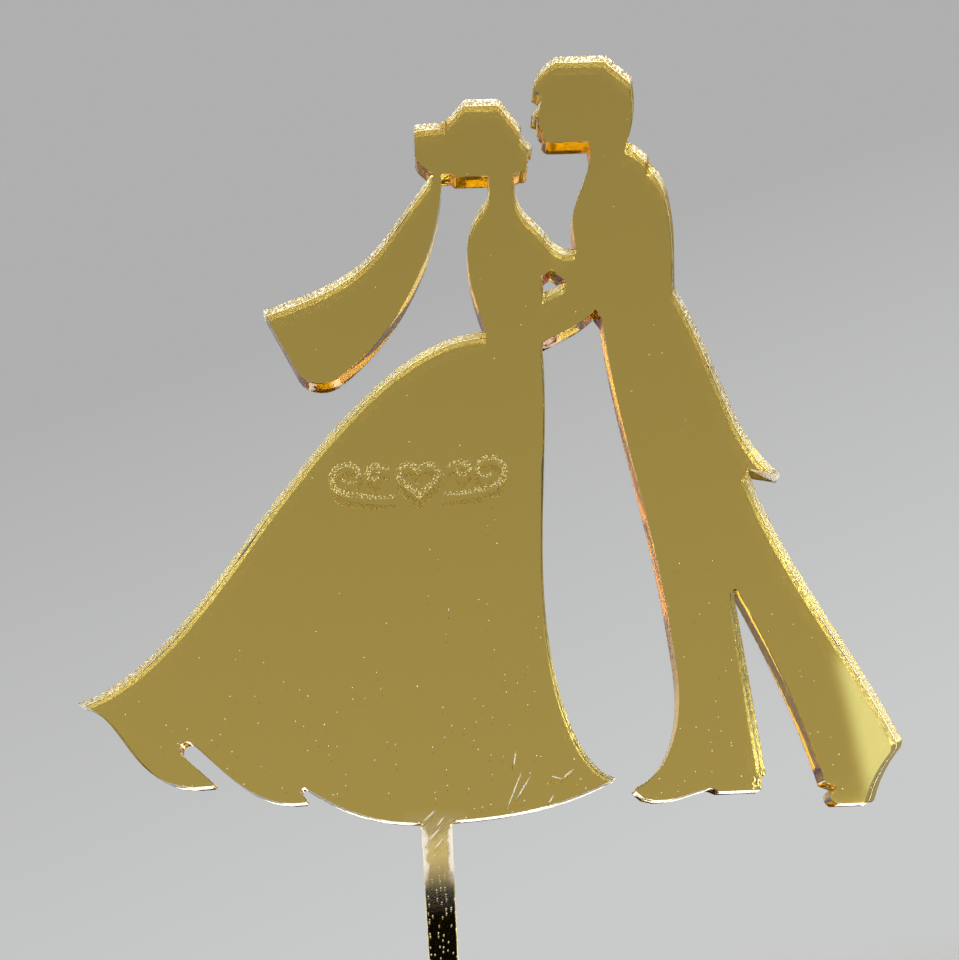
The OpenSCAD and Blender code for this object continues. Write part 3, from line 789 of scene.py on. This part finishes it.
# Cards: two opposite corners in metres, colour, strength (0 is plain paper), and the share that fades at an
# edge. Those in front are mirrored or light the side walls, the flags darken the stake, the mats lie behind
COOL = "#D2E2FF"
MAT = FLOOR + 0.001
CARDS = {
    "strip_right": ((0.312, -0.61, 0.03), (0.42, -0.61, 0.2), COOL, 1.35, 0.15),
    "softbox_right": ((0.235, -0.6, -0.06), (0.33, -0.6, 0.076), COOL, 12.0, 0.1),
    "softbox_left": ((-0.40, -0.6, -0.06), (-0.225, -0.6, 0.165), COOL, 12.0, 0.14),
    "softbox_low": ((-0.24, -0.59, -0.06), (-0.10, -0.59, 0.02), COOL, 4.0, 0.2),
    "flag_dark_below": ((-0.007, -0.11, -0.023), (0.007, -0.012, -0.002), "#0B0A08", 1.0, 0.2),
    "flag_pale_above": ((-0.012, -0.125, -0.0257), (0.012, -0.006, -0.0002), "#E9E8E6", 0.0, 0.01),
    "dark_mat": ((-0.35, 0.08, MAT), (0.35, 0.25, MAT), "#1E1A14", 1.0, 0.1),
    "bright_mat": ((-0.4, 0.26, MAT), (0.4, 0.6, MAT), "#FFF1D0", 5.5, 0.1),
}

# Cards behind the topper, which light its cut walls from the back and aren't mirrored
BACKLIGHTS = {
    "backlight_top": ((-0.3, 0.3, 0.16), (0.3, 0.3, 0.7), "#F3F1EA", 4.5, 0.15),
    "backlight_left": ((-0.7, 0.301, -0.055), (-0.1, 0.301, 0.4), "#F3F1EA", 9.0, 0.15),
    "backlight_right": ((0.12, 0.302, -0.055), (0.7, 0.302, 0.35), "#F3F1EA", 9.0, 0.15),
}


def fold_edges(mesh):
    """The numbers of the sweep's edges that lie on the floor at its far end."""
    far, low = max(v.co.y for v in mesh.vertices) - NEAR_EDGE, FLOOR + NEAR_EDGE
    at_fold = {v.index for v in mesh.vertices if v.co.y > far and v.co.z < low}
    return [e.index for e in mesh.edges if at_fold.issuperset(e.vertices)]


def sweep_material(look):
    """Matt paper with a fine tooth: a pale floor, and a backdrop that, to the camera and in reflections,
    glows with painted light of an even tone, darker to the top left.
    """
    material, tree = blank("paper_floor_glowing_backdrop")
    place = add(tree, "TexCoord").outputs["Object"]
    spot = add(tree, "SeparateXYZ", {"Vector": place})
    rise = spot.outputs["Z"]
    slant = {0: spot.outputs["X"], 1: CLIMB_ASIDE, 2: rise}
    slant = add(tree, "Math", slant, operation="MULTIPLY_ADD").outputs[0]
    climb = ramp(tree, slant, CLIMB_FROM, CLIMB_FULL)
    wall = between(tree, climb, look.wall_low, look.wall_high)
    # Painted light: the backdrop glows in this tone instead of being lit
    glow = add(tree, "Emission", {"Color": wall, "Strength": 1.0}).outputs[0]
    tooth = bumps(tree, lumps(tree, place, PAPER_GRAIN, 2.0), 0.1, 0.5 * MM)
    paper = add(tree, "BsdfPrincipled", {"Base Color": look.floor, "Roughness": 0.8,
                                         "Specular IOR Level": 0.0, "Normal": tooth}).outputs[0]
    upright = ramp(tree, rise, BACKDROP_FROM, BACKDROP_FULL)
    path = add(tree, "LightPath").outputs
    seen = combine(tree, "MAXIMUM", path["Is Camera Ray"], path["Is Glossy Ray"], path["Is Transmission Ray"])
    shown = combine(tree, "MULTIPLY", seen, upright)
    mixed = add(tree, "MixShader", {"Fac": shown, 1: paper, 2: glow}).outputs[0]
    add(tree, "OutputMaterial", {"Surface": mixed})
    return material


def card_material(name, shade, strength, soft):
    """A card that glows, or plain paper at strength 0, and that fades out towards its edges."""
    material, tree = blank(name + "_face")
    spot = add(tree, "SeparateXYZ", {"Vector": add(tree, "TexCoord").outputs["Object"]})
    sides = []
    for axis in ("X", "Y"):
        away = add(tree, "Math", {0: spot.outputs[axis]}, operation="ABSOLUTE").outputs[0]
        sides.append(ramp(tree, away, 0.5 - soft, 0.5, 1.0, 0.0, "SMOOTHSTEP"))
    fade = combine(tree, "MULTIPLY", *sides)
    if strength:
        front = add(tree, "Emission", {"Color": linear(shade), "Strength": strength}).outputs[0]
    else:
        front = add(tree, "BsdfDiffuse", {"Color": linear(shade)}).outputs[0]
    gone = add(tree, "BsdfTransparent").outputs[0]
    mixed = add(tree, "MixShader", {"Fac": fade, 1: gone, 2: front}).outputs[0]
    add(tree, "OutputMaterial", {"Surface": mixed})
    return material


class TOPPER_OT_stage(bpy.types.Operator):
    """Floor, backdrop, soft light and the camera"""
    bl_idname = "topper.stage"
    bl_label = "Stage"

    def sweep(self, look):
        """The floor, raised at its far edge into a backdrop, with a round fold between the two."""
        bpy.ops.object.select_all(action="DESELECT")
        bpy.ops.mesh.primitive_plane_add(size=SWEEP_SIZE, location=(0.0, SWEEP_FORWARD, FLOOR))
        floor = bpy.context.view_layer.objects.active
        floor.name = "floor_sweep"
        bpy.ops.object.transform_apply(location=True, rotation=True, scale=True)
        pick(floor, edges=fold_edges(floor.data))
        bpy.ops.mesh.extrude_region_move(TRANSFORM_OT_translate={"value": (0.0, 0.0, SWEEP_RISE)})
        done()
        pick(floor, edges=fold_edges(floor.data))
        bpy.ops.mesh.bevel(offset=FOLD_ROUND, segments=10, profile=0.5, affect="EDGES")
        done()
        only(floor)
        bpy.ops.object.shade_smooth()
        floor.data.materials.append(sweep_material(look))

    def card(self, name, low, high, shade, strength, soft):
        """A card that only the mirror and the cut walls see."""
        bpy.ops.object.select_all(action="DESELECT")
        middle, span = (Vector(low) + Vector(high)) / 2, Vector(high) - Vector(low)
        slope = math.atan2(span.z, span.y)
        bpy.ops.mesh.primitive_plane_add(size=1.0, rotation=(slope, 0.0, 0.0), location=middle)
        card = bpy.context.view_layer.objects.active
        card.name = name
        card.scale = (span.x, math.hypot(span.y, span.z), 1.0)
        card.data.materials.append(card_material(name, shade, strength, soft))
        card.visible_camera = card.visible_shadow = card.visible_diffuse = False
        return card

    def lamp(self, name, place, power, spread):
        """A softbox. A narrow spread, in degrees, keeps its light off the floor in front."""
        softbox = bpy.data.lights.new(name, "AREA")
        softbox.shape, softbox.energy, softbox.spread = "RECTANGLE", power, math.radians(spread)
        softbox.size, softbox.size_y = SOFTBOX_SIZE
        lamp = bpy.data.objects.new(name, softbox)
        lamp.location = place
        lamp.rotation_euler = (AIM - Vector(place)).to_track_quat("-Z", "Y").to_euler()
        lamp.visible_camera = False
        bpy.context.scene.collection.objects.link(lamp)
        return lamp

    def room(self, look):
        """A soft even room, a little darker overhead."""
        world = bpy.data.worlds.new("soft_room")
        world.use_nodes = True
        tree = world.node_tree
        tree.nodes.clear()
        up = add(tree, "SeparateXYZ", {"Vector": add(tree, "TexCoord").outputs["Generated"]}).outputs["Z"]
        tone = between(tree, ramp(tree, up, 0.0, 0.75), look.sky_low, look.sky_high)
        room = add(tree, "Background", {"Color": tone, "Strength": 1.0})
        add(tree, "OutputWorld", {"Surface": room.outputs[0]})
        return world

    def camera(self):
        """The camera that takes the picture."""
        lens = bpy.data.cameras.new("camera")
        lens.sensor_width = 36.0
        lens.lens = lens.sensor_width * FOCAL_PIXELS / FRAME_PIXELS
        lens.clip_start = 0.01
        camera = bpy.data.objects.new("camera", lens)
        camera.location = CAMERA_AT
        camera.rotation_euler = [math.radians(a) for a in CAMERA_TURN]
        bpy.context.scene.collection.objects.link(camera)
        return camera

    def execute(self, context):
        scene, look = context.scene, context.scene.topper_stage
        scene.view_settings.view_transform = "Standard"
        # Light crosses the clear acrylic many times before it comes out
        cycles = scene.cycles
        cycles.max_bounces, cycles.transmission_bounces, cycles.glossy_bounces = 24, 20, 16
        self.sweep(look)
        scene.world = self.room(look)
        self.lamp("softbox_overhead", (0.0, -0.12, 0.95), look.overhead_power, 180)
        key = self.lamp("softbox_key", (-0.6, -0.9, 0.7), look.key_power, 60)
        key.visible_glossy = key.visible_transmission = False
        for name, card in CARDS.items():
            self.card(name, *card)
        for name, card in BACKLIGHTS.items():
            self.card(name, *card).visible_glossy = False
        scene.camera = self.camera()
        return {"FINISHED"}


class TOPPER_PT_panel(bpy.types.Panel):
    """Builds the topper layer by layer"""
    bl_idname = "TOPPER_PT_panel"
    bl_label = "Cake topper"
    bl_space_type = "VIEW_3D"
    bl_region_type = "UI"
    bl_category = "Topper"

    def draw(self, context):
        for group in ("topper_sheet", "topper_finish", "topper_stage"):
            values = getattr(context.scene, group)
            for name in values.__annotations__:
                self.layout.prop(values, name)
        for operator in OPERATORS:
            self.layout.operator(operator.bl_idname)


GROUPS = {"topper_sheet": TopperSheet, "topper_finish": TopperFinish, "topper_stage": TopperStage}
OPERATORS = (TOPPER_OT_stage, TOPPER_OT_acrylic_panel, TOPPER_OT_mirror_film, TOPPER_OT_back_coat)


def register():
    for group in (*GROUPS.values(), *OPERATORS, TOPPER_PT_panel):
        bpy.utils.register_class(group)
    for name, group in GROUPS.items():
        setattr(bpy.types.Scene, name, PointerProperty(type=group))


def unregister():
    for name in GROUPS:
        delattr(bpy.types.Scene, name)
    for group in reversed((*GROUPS.values(), *OPERATORS, TOPPER_PT_panel)):
        bpy.utils.unregister_class(group)


def main():
    register()
    bpy.ops.topper.stage()
    bpy.ops.topper.acrylic_panel()
    bpy.ops.topper.mirror_film()
    bpy.ops.topper.back_coat()


if __name__ == "__main__":
    main()
